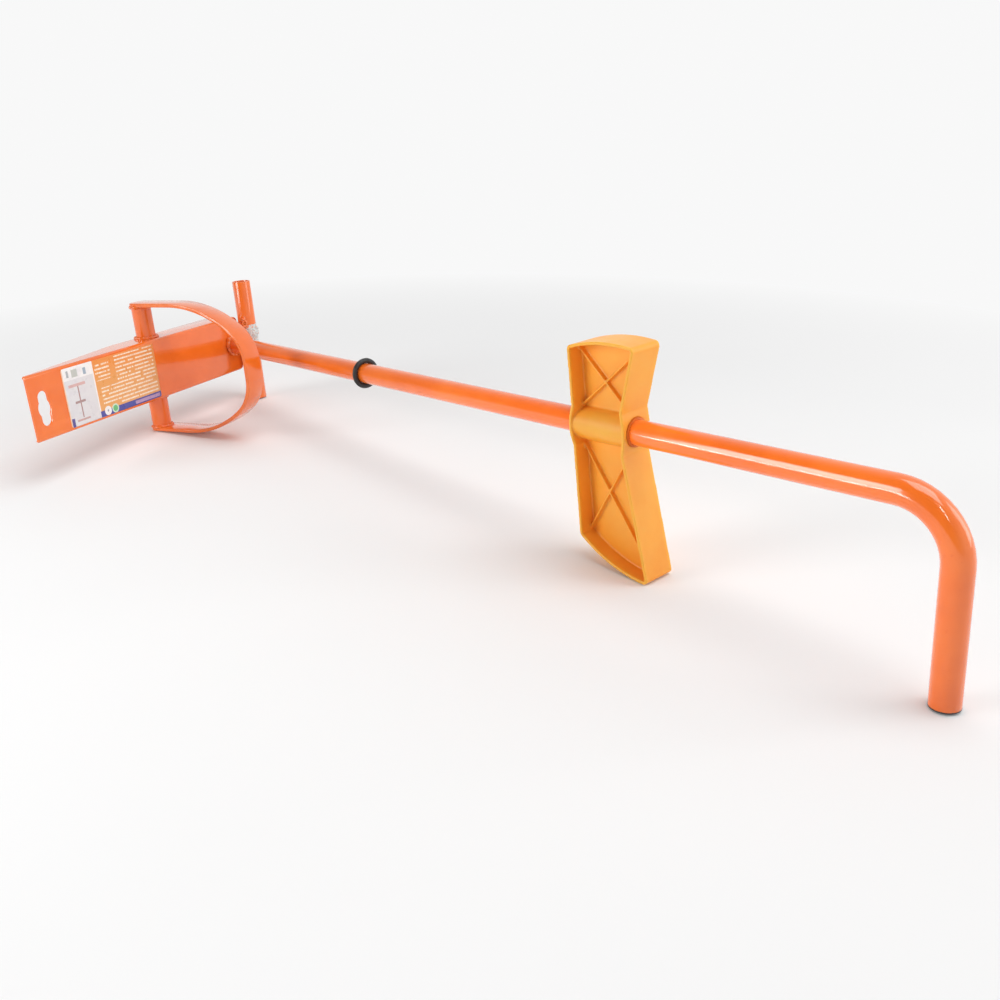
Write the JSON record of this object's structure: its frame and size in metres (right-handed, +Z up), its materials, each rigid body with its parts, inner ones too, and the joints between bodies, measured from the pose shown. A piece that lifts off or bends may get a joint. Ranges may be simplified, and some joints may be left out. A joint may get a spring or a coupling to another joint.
{
  "type": "foot-operated board lifting bar",
  "caption": "Long painted steel lever bar with a bent grip, a channel blade with a foot bow and heel tube, a rubber stop ring and a plastic wing that slides and turns on the bar.",
  "frame": {"origin": "Middle of the bounding box's base, on the floor that the tool lies on. It rests on the rim of the grip's end, the heel tube's lower end and the foot bow's lower corner.", "axes": "+X runs along the bar from the blade to the grip, as seen from above; the bar rises by 4.2 degrees towards the grip. +Z is up. The blade points to -Y, and the grip leg hangs down."},
  "size_m": [0.9926, 0.3288, 0.196],
  "materials": {
    "orange_paint": "glossy orange powder coat on steel",
    "black_plastic": "satin black moulded plastic",
    "bush_plastic": "satin orange moulded plastic bush",
    "amber_plastic": "amber moulded plastic with a soft sheen",
    "black_rubber": "matt black rubber",
    "label_film": "printed self-adhesive film"
  },
  "bodies": {
    "welded_bar": {"bar_tube": "orange_paint", "handle_plug": "black_plastic", "blade_channel": "orange_paint", "blade_label": "label_film", "heel_tube": "orange_paint", "post_upper": "orange_paint", "post_lower": "orange_paint", "foot_bow": "orange_paint", "bar_foot_weld": "orange_paint", "heel_bar_weld": "orange_paint", "heel_blade_weld": "orange_paint", "post_upper_weld": "orange_paint", "post_lower_weld": "orange_paint", "bow_upper_weld": "orange_paint", "bow_lower_weld": "orange_paint"},
    "stop_ring": {"stop_ring": "black_rubber"},
    "wing_slider": {"wing_sleeve": "bush_plastic"},
    "wing": {"wing_body": "amber_plastic"}
  },
  "joints": [
    {"name": "stop_ring_slide", "type": "slide", "parent": "welded_bar", "child": "stop_ring", "axis": [0.9973, 0, 0.0728], "range_m": [-0.26, 0.1]},
    {"name": "wing_slide", "type": "slide", "parent": "welded_bar", "child": "wing_slider", "axis": [0.9973, 0, 0.0728], "range_m": [-0.215, 0.215]},
    {"name": "wing_turn", "type": "hinge", "parent": "wing_slider", "child": "wing", "pos_m": [0.19218, 0.13171, 0.12107], "axis": [0.9973, 0, 0.0728], "continuous": true}
  ]
}
